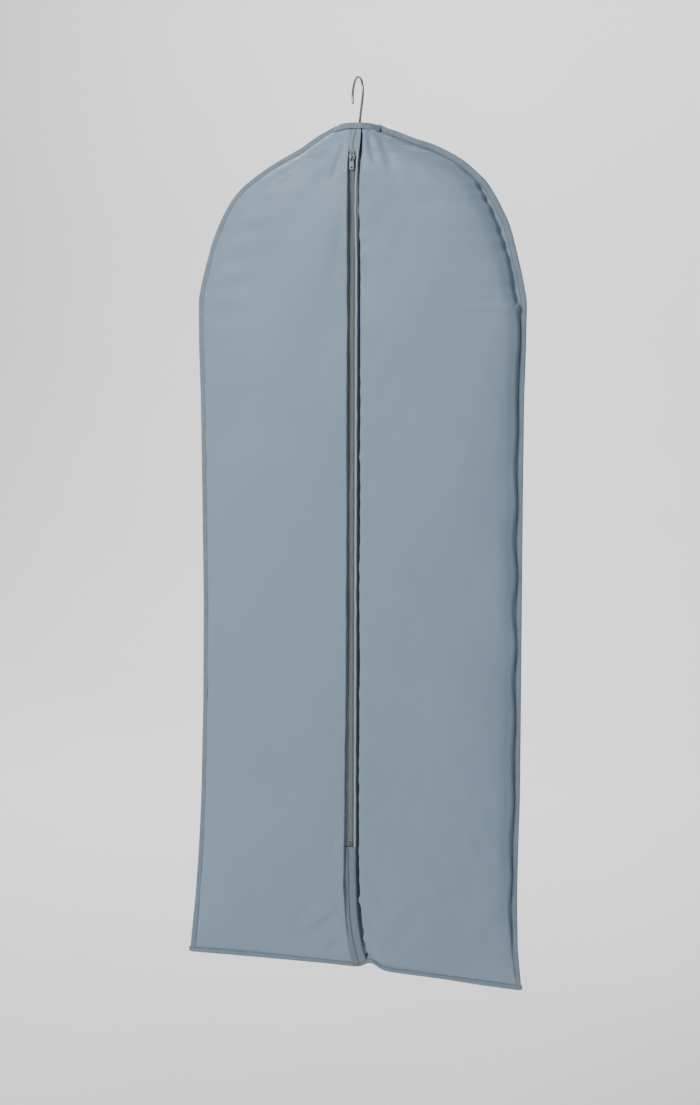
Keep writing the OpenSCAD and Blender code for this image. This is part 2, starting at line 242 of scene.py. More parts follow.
def waves(x, drop, across, down, seed, count=6):
    """Soft irregular undulation, about -1 to 1, with wavelengths near across and down."""
    rng = np.random.default_rng(seed)
    total = 0
    for _ in range(count):
        kx, kd = (2 * np.pi / w * rng.uniform(0.6, 1.5) for w in (across, down))
        total = total + np.sin(kx * x * rng.choice([-1, 1]) + kd * drop + rng.uniform(0, 6.28))
    return total / math.sqrt(count) / 1.2


def crease(x, drop, start, end, width, height):
    """A soft ridge, or a valley where height is negative, that fades at both of its ends."""
    a, b = np.array(start, float), np.array(end, float)
    along = b - a
    t = ((x - a[0]) * along[0] + (drop - a[1]) * along[1]) / (along @ along)
    c = np.clip(t, 0, 1)
    away = np.hypot(x - a[0] - c * along[0], drop - a[1] - c * along[1])
    return height * np.exp(-((away / width) ** 2)) * np.sin(np.pi * c) ** 0.6


# Creases that can be told apart: side, start and end as [x, drop], width, height
CREASES = [
    (-1, (-56, 1256), (-108, 1318), 11, -2.8),
    (-1, (-18, 1262), (-74, 1311), 8, 2.6),
    (-1, (-24, 1280), (-88, 1334), 9, -3.6),
    (-1, (-24, 1312), (-60, 1354), 6, 2.6),
    (-1, (-14, 1328), (-44, 1358), 5, -2.4),
    (-1, (-8, 1120), (-30, 1185), 6, -1.2),
    (-1, (-10, 30), (-34, 96), 6, -2.2),
    (-1, (-18, 22), (-90, 118), 9, 1.8),
    (-1, (-36, 26), (-128, 104), 8, -1.6),
    (-1, (-70, 46), (-170, 128), 10, 1.2),
    (-1, (-9, 120), (-30, 260), 9, -1.0),
    (1, (20, 1298), (44, 1356), 5, -2.6),
    (1, (30, 1290), (62, 1352), 8, 1.8),
    (1, (20, 1180), (52, 1262), 9, 1.2),
    (1, (32, 12), (80, 96), 9, -2.0),
    (1, (42, 14), (140, 92), 9, 1.8),
    (1, (60, 30), (182, 118), 8, -1.8),
    (1, (22, 12), (40, 66), 5, -2.6),
    (1, (30, 12), (58, 70), 6, 2.0),
    (1, (90, 46), (214, 152), 10, 1.2),
    (1, (19, 150), (34, 300), 8, -1.0),
]


def face_relief(side, x, drop, from_seam, from_centre, along):
    """How far the cloth stands out from its smooth bulge, in millimetres."""
    calm = ease(from_seam / 30)
    relief = 1.6 * waves(x, drop, 230, 330, 11 + side) * calm
    relief = relief + 0.25 * waves(x, drop, 60, 110, 17 + side) * calm
    # puckers where the panel is gathered into the binding, strongest round the shoulder
    round_shoulder = np.exp(-((along - 250) / 190) ** 2)
    gather = waves(along, from_seam * 0.5, 21, 120, 23 + side, 4)
    relief = relief + (0.35 + 1.0 * round_shoulder) * gather * np.exp(-from_seam / 17)
    long_gather = waves(along, from_seam * 0.3, 64, 200, 29 + side, 4)
    relief = relief + (0.5 + 1.5 * round_shoulder) * long_gather * np.exp(-from_seam / 45) * calm
    # small pulls along the channel's rolled edge
    pull = waves(drop + from_centre * 0.8, from_centre, 26, 90, 31 + side, 5)
    relief = relief + 0.55 * pull * np.exp(-from_centre / 9)
    long_pull = waves(drop + from_centre * 0.9, from_centre, 95, 200, 37 + side, 5)
    relief = relief + 0.8 * long_pull * np.exp(-from_centre / 30)
    # soft drag in the last stretch above the hem
    low = ease((drop - 1150) / 150) * ease((1368 - drop) / 60)
    relief = relief + 0.6 * low * waves(x + 0.5 * drop, drop, 90, 260, 41 + side)
    for which, start, end, width, height in CREASES:
        if which == side:
            relief = relief + crease(x, drop, start, end, width, height)
    return relief


# Where the right panel's edge is pulled towards the zip: drop, height of the pull, amount
EDGE_PULLS = [
    (137, 7, 1.3), (177, 6, 1.2), (260, 9, 0.6), (392, 8, 0.7), (525, 7, 1.3), (700, 12, 0.6),
    (905, 9, 0.7), (1040, 12, 0.5), (1167, 8, 1.4), (1249, 7, 3.6), (1321, 8, 4.2),
    (1350, 16, 4.0),
]


def centre_edge(side, drop):
    """x of a front panel's rolled edge beside the channel."""
    if side < 0:
        wave = 0.25 * waves(drop, 0 * drop, 80, 90, 43)
        drawn = 2.5 * ease((drop - 800) / 300) + 2.5 * ease((drop - 1120) / 100)
        return LEFT_EDGE + wave - drawn + sway(drop, 0.6)
    x = RIGHT_EDGE + 0.35 * waves(drop, 0 * drop, 40, 60, 47) + sway(drop) + bend(drop)
    for at, reach, amount in EDGE_PULLS:
        x = x - amount * np.exp(-(((drop - at) / reach) ** 2))
    return x


def hem_wave(x, drop):
    """How the hem drifts out of its plane."""
    return 3.0 * waves(x, 0 * x, 330, 400, 53) * ease((drop - 1180) / 180)


# ---------------------------------------------------------------- meshes

def add_mesh(name, verts, faces, material):
    mesh = bpy.data.meshes.new(name)
    mesh.from_pydata((np.asarray(verts, float) * MM).tolist(), [], faces)
    mesh.polygons.foreach_set("use_smooth", [True] * len(mesh.polygons))
    mesh.materials.append(material)
    mesh.update()
    piece = bpy.data.objects.new(name, mesh)
    bpy.context.scene.collection.objects.link(piece)
    return piece


def grid_faces(rows, cols, loop=False, start=0, flip=False):
    faces = []
    for r in range(rows - 1):
        for c in range(cols if loop else cols - 1):
            a, b = start + r * cols + c, start + r * cols + (c + 1) % cols
            face = (a, b, b + cols, a + cols)
            faces.append(face[::-1] if flip else face)
    return faces


def cloth(name, points, material, thickness=CLOTH_T, outward=(0, -1, 0)):
    """A sheet through a grid of points, given its thickness on both sides."""
    points = np.asarray(points, float)
    rows, cols = points.shape[:2]
    du = np.gradient(points, axis=1)
    dv = np.gradient(points, axis=0)
    normal = np.cross(du, dv)
    size = np.linalg.norm(normal, axis=2, keepdims=True)
    normal = normal / np.maximum(size, 1e-9)
    if (normal.reshape(-1, 3) @ np.array(outward)).sum() < 0:
        normal = -normal
    top = points + normal * thickness / 2
    low = points - normal * thickness / 2
    verts = np.concatenate([top.reshape(-1, 3), low.reshape(-1, 3)])
    count = rows * cols
    faces = grid_faces(rows, cols) + grid_faces(rows, cols, start=count, flip=True)
    rim = (
        [(0, c) for c in range(cols)]
        + [(r, cols - 1) for r in range(1, rows)]
        + [(rows - 1, c) for c in range(cols - 2, -1, -1)]
        + [(r, 0) for r in range(rows - 2, 0, -1)]
    )
    ids = [r * cols + c for r, c in rim]
    faces += [(b, a, a + count, b + count) for a, b in zip(ids, ids[1:] + ids[:1])]
    piece = add_mesh(name, verts, faces, material)
    fix_normals(piece)
    return piece


def fix_normals(piece):
    bm = bmesh.new()
    bm.from_mesh(piece.data)
    bmesh.ops.recalc_face_normals(bm, faces=bm.faces)
    bm.to_mesh(piece.data)
    bm.free()
    piece.data.update()


def skin(name, loops, material):
    """A solid through closed loops of equal length, with flat ends."""
    loops = np.asarray(loops, float)
    rows, cols = loops.shape[:2]
    verts = loops.reshape(-1, 3)
    faces = grid_faces(rows, cols, loop=True)
    faces.append(tuple(range(cols)))
    faces.append(tuple((rows - 1) * cols + c for c in reversed(range(cols))))
    piece = add_mesh(name, verts, faces, material)
    fix_normals(piece)
    return piece


def tube_loops(path, radii, sides, up=(0, 0, 1)):
    """Rings round a path, turned along it without twist."""
    path = np.asarray(path, float)
    tangent = np.gradient(path, axis=0)
    tangent /= np.linalg.norm(tangent, axis=1, keepdims=True)
    across = np.cross(tangent[0], up)
    if np.linalg.norm(across) < 1e-3:
        across = np.cross(tangent[0], (1, 0, 0))
    loops = []
    for p, t, r in zip(path, tangent, radii):
        across = across - t * (across @ t)
        across /= np.linalg.norm(across)
        other = np.cross(t, across)
        a = np.arange(sides) / sides * 2 * np.pi
        loops.append(p + r * (np.outer(np.cos(a), across) + np.outer(np.sin(a), other)))
    return np.array(loops)


def stitches(name, path, normals, sewing):
    """Short raised threads along a path: each is a low six-sided bead."""
    length, gap, radius = sewing
    path, normals = np.asarray(path, float), np.asarray(normals, float)
    run = np.concatenate([[0], np.cumsum(np.linalg.norm(np.diff(path, axis=0), axis=1))])
    starts = np.arange(0, run[-1] - length, length + gap)
    verts, faces = [], []
    for s in starts:
        at = np.linspace(s, s + length, 4)
        p = np.stack([np.interp(at, run, path[:, c]) for c in range(3)], 1)
        n = np.stack([np.interp(at, run, normals[:, c]) for c in range(3)], 1)
        t = p[-1] - p[0]
        t /= np.linalg.norm(t)
        base = len(verts)
        for i in range(4):
            rise = radius * (0.9 if 0 < i < 3 else 0.1)
            side = np.cross(t, n[i])
            side /= np.linalg.norm(side)
            for a in np.arange(6) / 6 * 2 * np.pi:
                rim = radius * (math.cos(a) * side + math.sin(a) * n[i])
                verts.append(p[i] + n[i] * rise + rim)
        faces += [tuple(base + v for v in f) for f in grid_faces(4, 6, loop=True)]
        faces += [tuple(base + v for v in range(6)), tuple(base + 23 - v for v in range(6))]
    return add_mesh(name, verts, faces, THREAD_AND_SEAM_SHADE)


def plate(name, loops, thickness, bevel, material, plane_y):
    """A flat plate facing the front, cut by its inner loops, with rounded edges."""
    curve = bpy.data.curves.new(name + "_outline", "CURVE")
    curve.dimensions = "2D"
    curve.fill_mode = "BOTH"
    curve.extrude = (thickness / 2 - bevel) * MM
    curve.bevel_depth = bevel * MM
    curve.bevel_resolution = 3
    for loop in loops:
        spline = curve.splines.new("POLY")
        spline.points.add(len(loop) - 1)
        for point, (x, z) in zip(spline.points, loop):
            point.co = (x * MM, z * MM, 0, 1)
        spline.use_cyclic_u = True
    source = bpy.data.objects.new(name + "_curve", curve)
    bpy.context.scene.collection.objects.link(source)
    made = source.evaluated_get(bpy.context.evaluated_depsgraph_get())
    mesh = bpy.data.meshes.new_from_object(made)
    bpy.data.objects.remove(source)
    co = np.zeros(len(mesh.vertices) * 3)
    mesh.vertices.foreach_get("co", co)
    co = co.reshape(-1, 3)
    placed = leaned(np.stack([co[:, 0] / MM, plane_y - co[:, 2] / MM, co[:, 1] / MM], 1))
    mesh.vertices.foreach_set("co", (placed * MM).ravel())
    mesh.materials.clear()
    mesh.materials.append(material)
    mesh.polygons.foreach_set("use_smooth", [True] * len(mesh.polygons))
    piece = bpy.data.objects.new(name, mesh)
    bpy.context.scene.collection.objects.link(piece)
    fix_normals(piece)
    mesh.set_sharp_from_angle(angle=math.radians(40))
    return piece


def rounded(cx, cz, half_w, half_h, radius, steps=6):
    """A rounded rectangle as a list of points."""
    points = []
    for qx, qz, first in ((1, 1, 0), (-1, 1, 90), (-1, -1, 180), (1, -1, 270)):
        for k in range(steps + 1):
            a = math.radians(first + 90 * k / steps)
            points.append((
                cx + qx * (half_w - radius) + radius * math.cos(a),
                cz + qz * (half_h - radius) + radius * math.sin(a),
            ))
    return points


def join(name, bits):
    """Makes one piece of several that share a material."""
    verts, faces, start = [], [], 0
    for bit in bits:
        verts += [tuple(v.co / MM) for v in bit.data.vertices]
        faces += [tuple(start + i for i in f.vertices) for f in bit.data.polygons]
        start = len(verts)
    material = bits[0].data.materials[0]
    for bit in bits:
        bpy.data.objects.remove(bit)
    piece = add_mesh(name, verts, faces, material)
    piece.data.set_sharp_from_angle(angle=math.radians(40))
    return piece


# ---------------------------------------------------------------- materials

def node_material(name, color, roughness, metallic=0.0, **sockets):
    material = bpy.data.materials.new(name)
    material.use_nodes = True
    shader = material.node_tree.nodes["Principled BSDF"]
    shader.inputs["Base Color"].default_value = (*color, 1)
    shader.inputs["Roughness"].default_value = roughness
    shader.inputs["Metallic"].default_value = metallic
    for key, value in sockets.items():
        shader.inputs[key.replace("_", " ")].default_value = value
    return material, material.node_tree, shader


def position(tree, scale):
    """The point in metres, scaled, as a vector output."""
    coords = tree.nodes.new("ShaderNodeTexCoord")
    mapping = tree.nodes.new("ShaderNodeMapping")
    mapping.inputs["Scale"].default_value = scale
    tree.links.new(coords.outputs["Object"], mapping.inputs["Vector"])
    return mapping.outputs["Vector"]


def noise_of(tree, vector, scale, detail):
    node = tree.nodes.new("ShaderNodeTexNoise")
    node.inputs["Scale"].default_value = scale
    node.inputs["Detail"].default_value = detail
    node.inputs["Roughness"].default_value = 0.55
    tree.links.new(vector, node.inputs["Vector"])
    return node.outputs["Fac"]


def threads_of(tree, vector, direction, scale):
    node = tree.nodes.new("ShaderNodeTexWave")
    node.wave_type = "BANDS"
    node.bands_direction = direction
    node.inputs["Scale"].default_value = scale
    node.inputs["Distortion"].default_value = 0.6
    node.inputs["Detail"].default_value = 1.0
    tree.links.new(vector, node.inputs["Vector"])
    return node.outputs["Fac"]


def sum_of(tree, first, second, weight):
    node = tree.nodes.new("ShaderNodeMath")
    node.operation = "MULTIPLY_ADD"
    tree.links.new(second, node.inputs[0])
    node.inputs[1].default_value = weight
    tree.links.new(first, node.inputs[2])
    return node.outputs[0]


def tint(tree, shader, factor, dark, light, low=0.3, high=0.7):
    """Colours the base between two shades by a factor."""
    ramp = tree.nodes.new("ShaderNodeValToRGB")
    ramp.color_ramp.elements[0].position = low
    ramp.color_ramp.elements[1].position = high
    ramp.color_ramp.elements[0].color = (*dark, 1)
    ramp.color_ramp.elements[1].color = (*light, 1)
    tree.links.new(factor, ramp.inputs["Fac"])
    tree.links.new(ramp.outputs["Color"], shader.inputs["Base Color"])


def roughen(tree, shader, factor, low, high):
    span = tree.nodes.new("ShaderNodeMapRange")
    span.inputs["To Min"].default_value = low
    span.inputs["To Max"].default_value = high
    tree.links.new(factor, span.inputs["Value"])
    tree.links.new(span.outputs["Result"], shader.inputs["Roughness"])


def bump(tree, shader, height, strength, distance):
    node = tree.nodes.new("ShaderNodeBump")
    node.inputs["Strength"].default_value = strength
    node.inputs["Distance"].default_value = distance
    tree.links.new(height, node.inputs["Height"])
    tree.links.new(node.outputs["Normal"], shader.inputs["Normal"])


def shaded(color, factor):
    return tuple(c * factor for c in color)


def fabric_material(name, color, roughness, spread, sheen):
    """Woven cloth: threads both ways, uneven colour and a little sheen."""
    material, tree, shader = node_material(
        name, color, roughness, Sheen_Weight=sheen, Sheen_Roughness=0.45,
        Specular_IOR_Level=0.42,
    )
    place = position(tree, (1, 1, 1))
    cloudy = noise_of(tree, place, 9, 4)
    fine = noise_of(tree, place, 420, 2)
    warp = threads_of(tree, place, "X", WEAVE_THREADS)
    weft = threads_of(tree, place, "Z", WEAVE_THREADS * 0.93)
    tint(
        tree, shader, sum_of(tree, cloudy, fine, 0.25),
        shaded(color, 1 - spread), shaded(color, 1 + spread), 0.35, 0.85,
    )
    roughen(tree, shader, cloudy, roughness - 0.05, roughness + 0.05)
    weave = sum_of(tree, warp, weft, 1.0)
    bump(tree, shader, sum_of(tree, weave, fine, 0.8), 0.35, WEAVE_DEPTH)
    return material


def ribbed_material(name, color, roughness, rib, depth):
    """Binding or zip tape: fine ribs across it."""
    material, tree, shader = node_material(
        name, color, roughness, Sheen_Weight=0.15, Specular_IOR_Level=0.35
    )
    place = position(tree, (1, 1, 1))
    cloudy = noise_of(tree, place, 60, 3)
    ribs = threads_of(tree, place, "Z", rib)
    cross = threads_of(tree, place, "X", rib * 1.7)
    tint(tree, shader, sum_of(tree, cloudy, ribs, 0.2), shaded(color, 0.86), shaded(color, 1.1))
    bump(tree, shader, sum_of(tree, ribs, cross, 0.6), 0.5, depth)
    return material


def plastic_material(name, color, roughness, grain):
    material, tree, shader = node_material(name, color, roughness, Specular_IOR_Level=0.5)
    place = position(tree, (1, 1, 1))
    fine = noise_of(tree, place, grain, 4)
    tint(tree, shader, fine, shaded(color, 0.93), shaded(color, 1.04))
    roughen(tree, shader, fine, roughness - 0.06, roughness + 0.08)
    bump(tree, shader, fine, 0.25, 0.00008)
    return material


def metal_material(name, color, roughness, stretch):
    """Drawn or cast metal: fine scratches along it and small dull patches."""
    material, tree, shader = node_material(name, color, roughness, 1.0)
    scratches = noise_of(tree, position(tree, stretch), 900, 3)
    dull = noise_of(tree, position(tree, (1, 1, 1)), 160, 4)
    tint(tree, shader, dull, shaded(color, 0.85), shaded(color, 1.08))
    roughen(tree, shader, sum_of(tree, dull, scratches, 0.4), roughness - 0.05, roughness + 0.14)
    bump(tree, shader, scratches, 0.18, 0.00004)
    return material


# The bag's cloth where it is broad and lit, and copies with painted highlight and shade where it
# lies doubled, recessed or in a fold
FABRIC = fabric_material("bag_fabric", (0.242, 0.331, 0.430), 0.50, 0.03, 0.10)
# painted highlight: the placket strip is lighter where its fold catches the light
FABRIC_STRIP_PAINTED_HIGHLIGHT = fabric_material("bag_fabric_strip_painted_highlight", (0.33, 0.405, 0.46), 0.55, 0.035, 0.1)
# painted shade: the strip above the zip is darker where it lies recessed in the channel
FABRIC_NECK_PAINTED_SHADE = fabric_material("bag_fabric_neck_painted_shade", (0.225, 0.290, 0.350), 0.55, 0.035, 0.1)
# painted shade: the strip below the zip is darker, recessed in the channel near the hem
FABRIC_BAND_PAINTED_SHADE = fabric_material("bag_fabric_band_painted_shade", (0.185, 0.238, 0.290), 0.6, 0.035, 0.05)
# painted shade: the darkest copy, deep in the pleat and in the fold beside the hem strip
FABRIC_FOLD_PAINTED_SHADE = fabric_material("bag_fabric_fold_painted_shade", (0.17, 0.21, 0.25), 0.62, 0.05, 0.05)
# painted shade: the binding tape is darker than the bag's cloth, for the flange turning from the
# light
BINDING_PAINTED_SHADE = ribbed_material("binding_tape", (0.190, 0.250, 0.310), 0.58, 420, 0.00012)
TAPE = ribbed_material("zip_tape", (0.27, 0.295, 0.305), 0.75, 520, 0.00008)
# real stitching thread, near black, which also paints the crease's shade line along the binding's
# inner edge
THREAD_AND_SEAM_SHADE = ribbed_material("thread_and_seam_shade", (0.055, 0.070, 0.085), 0.65, 1500, 0.00004)
COIL = plastic_material("zip_coil", (0.36, 0.375, 0.375), 0.42, 500)
ZIP_METAL = metal_material("zip_metal", (0.17, 0.18, 0.19), 0.36, (1, 1, 0.3))
STEEL = metal_material("hook_steel", (0.34, 0.33, 0.31), 0.28, (1, 1, 0.12))
FERRULE = metal_material("hanger_metal", (0.52, 0.52, 0.52), 0.30, (0.3, 0.3, 1))
HANGER = plastic_material("hanger_plastic", (0.72, 0.71, 0.67), 0.38, 240)


def part(piece, slot, *nodes, body="bag"):
    """Puts a finished piece on its body, in place of its CAD nodes."""
    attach(piece, body)
    if nodes:
        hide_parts(*nodes)
    return piece


# ---------------------------------------------------------------- panels

def crowded(count):
    """Column places from 0 to 1, closer together towards both ends."""
    t = np.linspace(0, 1, count)
    return t - 0.13 * np.sin(2 * np.pi * t)


# Radius of each front panel's turn into the channel, and how far its face sinks beside it
CENTRE_ROLL = {-1: 1.0, 1: 6.5}
CENTRE_SINK = {-1: 1.5, 1: 0.0}


def seam_fold(side, along):
    """How far inside the binding the face turns down: most round the right shoulder."""
    if side < 0:
        return 0.4 + 0.3 * waves(along, 0 * along, 90, 90, 79, 4)
    shoulder = ease((along - 190) / 35) * ease((440 - along) / 60)
    pucker = 1.5 * waves(along, 0 * along, 30, 30, 89, 5)
    notch = 5.0 * np.exp(-(((along - 408) / 5) ** 2))
    return (
        2.4 + 1.4 * waves(along, 0 * along, 110, 110, 83, 4) + (6.0 + pucker) * shoulder - notch
    )


def seam_roll(side, inside, drop):
    """The fuller edge beside the seam, deep all down the right side: rise and overhang."""
    down = ease((drop - 25) / 60) * ease((1350 - drop) / 90)
    height = 10.0 * down if side > 0 else 3.0 * down
    reach = 21.0 if side > 0 else 7.0
    rise = height * np.sqrt(1 - (1 - np.minimum(inside / reach, 1)) ** 2) * np.exp(-inside / 130)
    over = 0.2 * height * np.exp(-(((inside - 3.5) / 2.6) ** 2))
    return rise, over


def front_surface(side):
    """Grid of a front panel: the channel's wall, its rolled edge, the face and the flange."""
    seam_x, seam_drop = inset(side, SEAM_INSET)
    edge_x, edge_drop = inset(side, FLANGE_INSET)
    along = ROWS[side][4]
    centre_drop = (inset(1, SEAM_INSET)[1] + inset(-1, SEAM_INSET)[1]) / 2
    centre_drop = centre_drop * (HEM_DROP - 0.5) / centre_drop[-1]
    edge = side * centre_edge(side, centre_drop)
    seam_x = np.maximum(seam_x, edge + 13)
    columns = crowded(FACE_COLS)
    x = edge[:, None] + (seam_x - edge)[:, None] * columns[None, :]
    drop = centre_drop[:, None] + (seam_drop - centre_drop)[:, None] * ease(columns)[None, :]
    wide = seam_x[:, None]
    slant = np.maximum(np.abs(ROWS[side][2]), 0.25)[:, None]
    from_seam = (wide - x) * np.abs(ROWS[side][2])[:, None] + 0.02 * wide
    from_centre = x - edge[:, None]
    fold = seam_fold(side, along)[:, None] / slant
    inside = np.maximum(wide - fold - x, 0) * slant
    relief = face_relief(side, side * x, drop, from_seam, from_centre, along[:, None])
    relief = relief * ease((wide - x) / 12) * np.minimum(1, 0.35 + hem_close(drop))
    depth = CLOTH_T / 2 + front_depth(drop) * puff(x / (wide - fold)) + relief
    rise, over = seam_roll(side, inside, drop)
    depth = depth + rise * np.minimum(1, hem_close(drop) * 2)
    # beside the channel the left face sinks a little, and both turn into it over a roll
    depth = depth - CENTRE_SINK[side] * np.exp(-from_centre / 30) * hem_close(drop)
    roll = CENTRE_ROLL[side]
    turned = np.clip(from_centre / roll, 0, 1)
    depth = depth - 0.8 * roll * (1 - np.sqrt(np.clip(1 - (1 - turned) ** 2, 0, 1)))
    floor = np.where(
        centre_drop > HEM_SEAM, CLOTH_T / 2, np.minimum(channel(centre_drop) + 0.5, depth[:, 0])
    )
    steps = np.array([0, 0.35, 0.7, 0.9])
    wall = floor[:, None] + (depth[:, :1] - floor[:, None]) * steps[None, :]
    x = x - over * ROWS[side][2][:, None]
    drop = drop - over * ROWS[side][3][:, None]
    wall_x = np.repeat(edge[:, None], 4, 1)
    wall_drop = np.repeat(centre_drop[:, None], 4, 1)
    flange_x = np.stack([seam_x * 0.4 + edge_x * 0.6, edge_x], 1)
    flange_drop = np.stack([seam_drop * 0.4 + edge_drop * 0.6, edge_drop], 1)
    flange_depth = np.full_like(flange_x, FLANGE_DEPTH)
    all_x = side * np.concatenate([wall_x, x, flange_x], 1)
    all_drop = np.concatenate([wall_drop, drop, flange_drop], 1)
    depths = np.concatenate([wall, depth, flange_depth], 1)
    lifted = all_drop - hem_lift(all_x, all_drop)
    return np.stack([all_x, hem_wave(all_x, all_drop) - depths, NECK_Z - lifted], 2)


def back_surface():
    """Grid of the back panel, with a flange down each side."""
    seam = {s: inset(s, SEAM_INSET) for s in (1, -1)}
    edge = {s: inset(s, FLANGE_INSET) for s in (1, -1)}
    t = np.linspace(-1, 1, 2 * FACE_COLS - 1)
    shape = np.sin(t * np.pi / 2) * 0.35 + t * 0.65
    right = ((shape + 1) / 2)[None, :]
    x = -seam[-1][0][:, None] * (1 - right) + seam[1][0][:, None] * right
    drop = seam[-1][1][:, None] * (1 - right) + seam[1][1][:, None] * right
    wide = np.where(x < 0, seam[-1][0][:, None], seam[1][0][:, None])
    from_seam = (wide - np.abs(x)) * np.abs(ROWS[1][2])[:, None] + 0.02 * wide
    along = ROWS[1][4][:, None]
    relief = 0
    for side in (1, -1):
        mine = ease(0.5 + side * x / 160)
        far = 0 * x + 400
        relief = relief + mine * face_relief(side * 3, x, drop, from_seam, far, along)
    relief = relief * ease((wide - np.abs(x)) / 12) * np.minimum(1, 0.35 + hem_close(drop))
    depth = CLOTH_T / 2 + back_depth(drop) * puff(x / wide) + relief
    rows = len(x)
    lines = []
    for s in (-1, 1):
        ex, ed = edge[s]
        mid_x, mid_d = seam[s][0] * 0.4 + ex * 0.6, seam[s][1] * 0.4 + ed * 0.6
        pair = [(s * ex, ed), (s * mid_x, mid_d)]
        lines.append(pair if s < 0 else pair[::-1])
    flat = np.full((rows, 2), FLANGE_DEPTH)
    all_x, all_drop = (
        np.concatenate([
            np.stack([p[i] for p in lines[0]], 1), middle, np.stack([p[i] for p in lines[1]], 1)
        ], 1)
        for i, middle in enumerate((x, drop))
    )
    depths = np.concatenate([flat, depth, flat], 1)
    # the last row reaches the hem all the way across
    reach = (np.arange(rows) / (rows - 1))[:, None] ** 40
    all_drop = all_drop + reach * (HEM_DROP - 1 - all_drop) * (np.abs(all_x) < 262)
    lifted = all_drop - hem_lift(all_x, all_drop)
    return np.stack([all_x, hem_wave(all_x, all_drop) + depths, NECK_Z - lifted], 2)


back_cloth = part(
    cloth("back_cloth", back_surface(), FABRIC, outward=(0, 1, 0)), "bag_fabric", "back_panel"
)
left_cloth = part(
    cloth("front_left_cloth", front_surface(-1), FABRIC), "bag_fabric", "front_panel_left"
)
right_cloth = part(
    cloth("front_right_cloth", front_surface(1), FABRIC), "bag_fabric", "front_panel_right"
)


# ---------------------------------------------------------------- channel and pleat

def strip_surface(x0, x1, drops, out, cols=7, bow=0.3):
    """A narrow strip on the channel's floor, slightly crowned, out in front of it."""
    t = np.linspace(0, 1, cols)[None, :]
    drops = np.asarray(drops, float)[:, None]
    x = x0 + (x1 - x0) * t + sway(drops)
    y = -channel(drops) - out - bow * np.sin(np.pi * t) + 0 * drops
    y = y - 0.35 * waves(drops, 0 * drops, 55, 70, 59) + hem_wave(x, drops + 0 * x)
    lifted = drops + 0 * x - hem_lift(x, drops + 0 * x)
    return np.stack([x + 0 * y, y, NECK_Z - lifted], 2)


def folded_strip(name, x0, x1, drops, out, material):
    """A strip of doubled cloth with a rounded fold on its left."""
    thick = PLACKET_THICK
    loops = []
    for d in drops:
        shift = float(sway(d) + strip_bend(d))
        base = -float(channel(d)) - out
        wobble = 0.3 * waves(d, 0.0, 50, 60, 61)
        section = [
            (x1, 0), (x1, -thick), ((x0 + x1) / 2, -thick * 1.1), (x0 + 0.8, -thick),
            (x0 + 0.15, -thick * 0.8), (x0, -thick * 0.5), (x0 + 0.15, -thick * 0.2),
            (x0 + 0.8, 0), ((x0 + x1) / 2, 0),
        ]
        loops.append([
            (
                x + shift + wobble,
                base + y + hem_wave(x + shift, d),
                NECK_Z - d + hem_lift(x + shift, d),
            )
            for x, y in section
        ])
    return skin(name, loops, material)


def pleat_surface():
    """The deep pleat: in beside the placket, across its floor and out to the right panel."""
    drops = np.linspace(6, 1352, 300)[:, None]
    shift = sway(drops)
    front = -channel(drops) + 0.4
    back = -channel(drops) * PLEAT_FLOOR
    x0, x1 = PLACKET[1] + 0.4 + shift, RIGHT_EDGE - 0.5 + shift
    path = [
        (x0, front), (x0, front * 0.6 + back * 0.4), (x0 + 0.3, back - 1.5),
        (x0 * 0.7 + x1 * 0.3, back), (x0 * 0.3 + x1 * 0.7, back),
        (x1 - 0.3, back - 1.5), (x1, front * 0.6 + back * 0.4), (x1, front),
    ]
    x = np.concatenate([p[0] for p in path], 1)
    y = np.concatenate([p[1] + 0 * drops for p in path], 1) + hem_wave(x, drops + 0 * x)
    lifted = drops + 0 * x - hem_lift(x, drops + 0 * x)
    return np.stack([x, y, NECK_Z - lifted], 2)


# the pleat's dark cloth is painted shade deep in the pleat
pleat = part(
    cloth("pleat_cloth", pleat_surface(), FABRIC_FOLD_PAINTED_SHADE), "bag_fabric", "pleat_right"
)
# the placket's lighter cloth is painted highlight on its fold
placket = part(
    folded_strip(
        "placket_cloth", PLACKET[0], PLACKET[1], np.linspace(ZIP_TOP - 1, STRIP_CHANGE, 300),
        0.5, FABRIC_STRIP_PAINTED_HIGHLIGHT,
    ),
    "bag_fabric", "placket_strip",
)


def neck_surface():
    """The strip above the zip: a doubled seam on its left, and a slack upright crease."""
    cols = 60
    drops = np.linspace(3, ZIP_TOP, 70)
    grid = strip_surface(LEFT_EDGE - 2.5, PLACKET[1], drops, 0.6, cols=cols)
    x = grid[..., 0]
    down = drops[:, None]
    x += np.linspace(0, 1, cols)[None, :] ** 2 * strip_bend(down)
    full = ease((down - 4) / 10) * ease((ZIP_TOP + 4 - down) / 10)
    middle = 3.2 + 1.3 * np.sin(down / 7.5)
    swell = 1.1 * np.exp(-(((x - middle + 2.4) / 2.0) ** 2))
    slack = swell - 0.9 * np.exp(-(((x - middle) / 1.1) ** 2))
    seam = 0.5 * (1 - ease((x + 3.6) / 0.7)) - 0.35 * np.exp(-(((x + 5.6) / 0.35) ** 2))
    grid[..., 1] -= slack * full + seam
    return grid


# the neck strip's darker cloth is painted shade of the recess above the zip
neck_flap = part(
    cloth("neck_cloth", neck_surface(), FABRIC_NECK_PAINTED_SHADE), "bag_fabric", "neck_strip"
)
# the hem strip's darker cloth is painted shade in the channel below the zip
hem_flap = part(
    cloth(
        "hem_cloth",
        strip_surface(
            FLAP_LEFT, PLACKET[1], np.linspace(STRIP_CHANGE, FLAP_END, 70), 0.9, bow=0.5
        ),
        FABRIC_BAND_PAINTED_SHADE,
    ),
    "bag_fabric", "hem_strip",
)
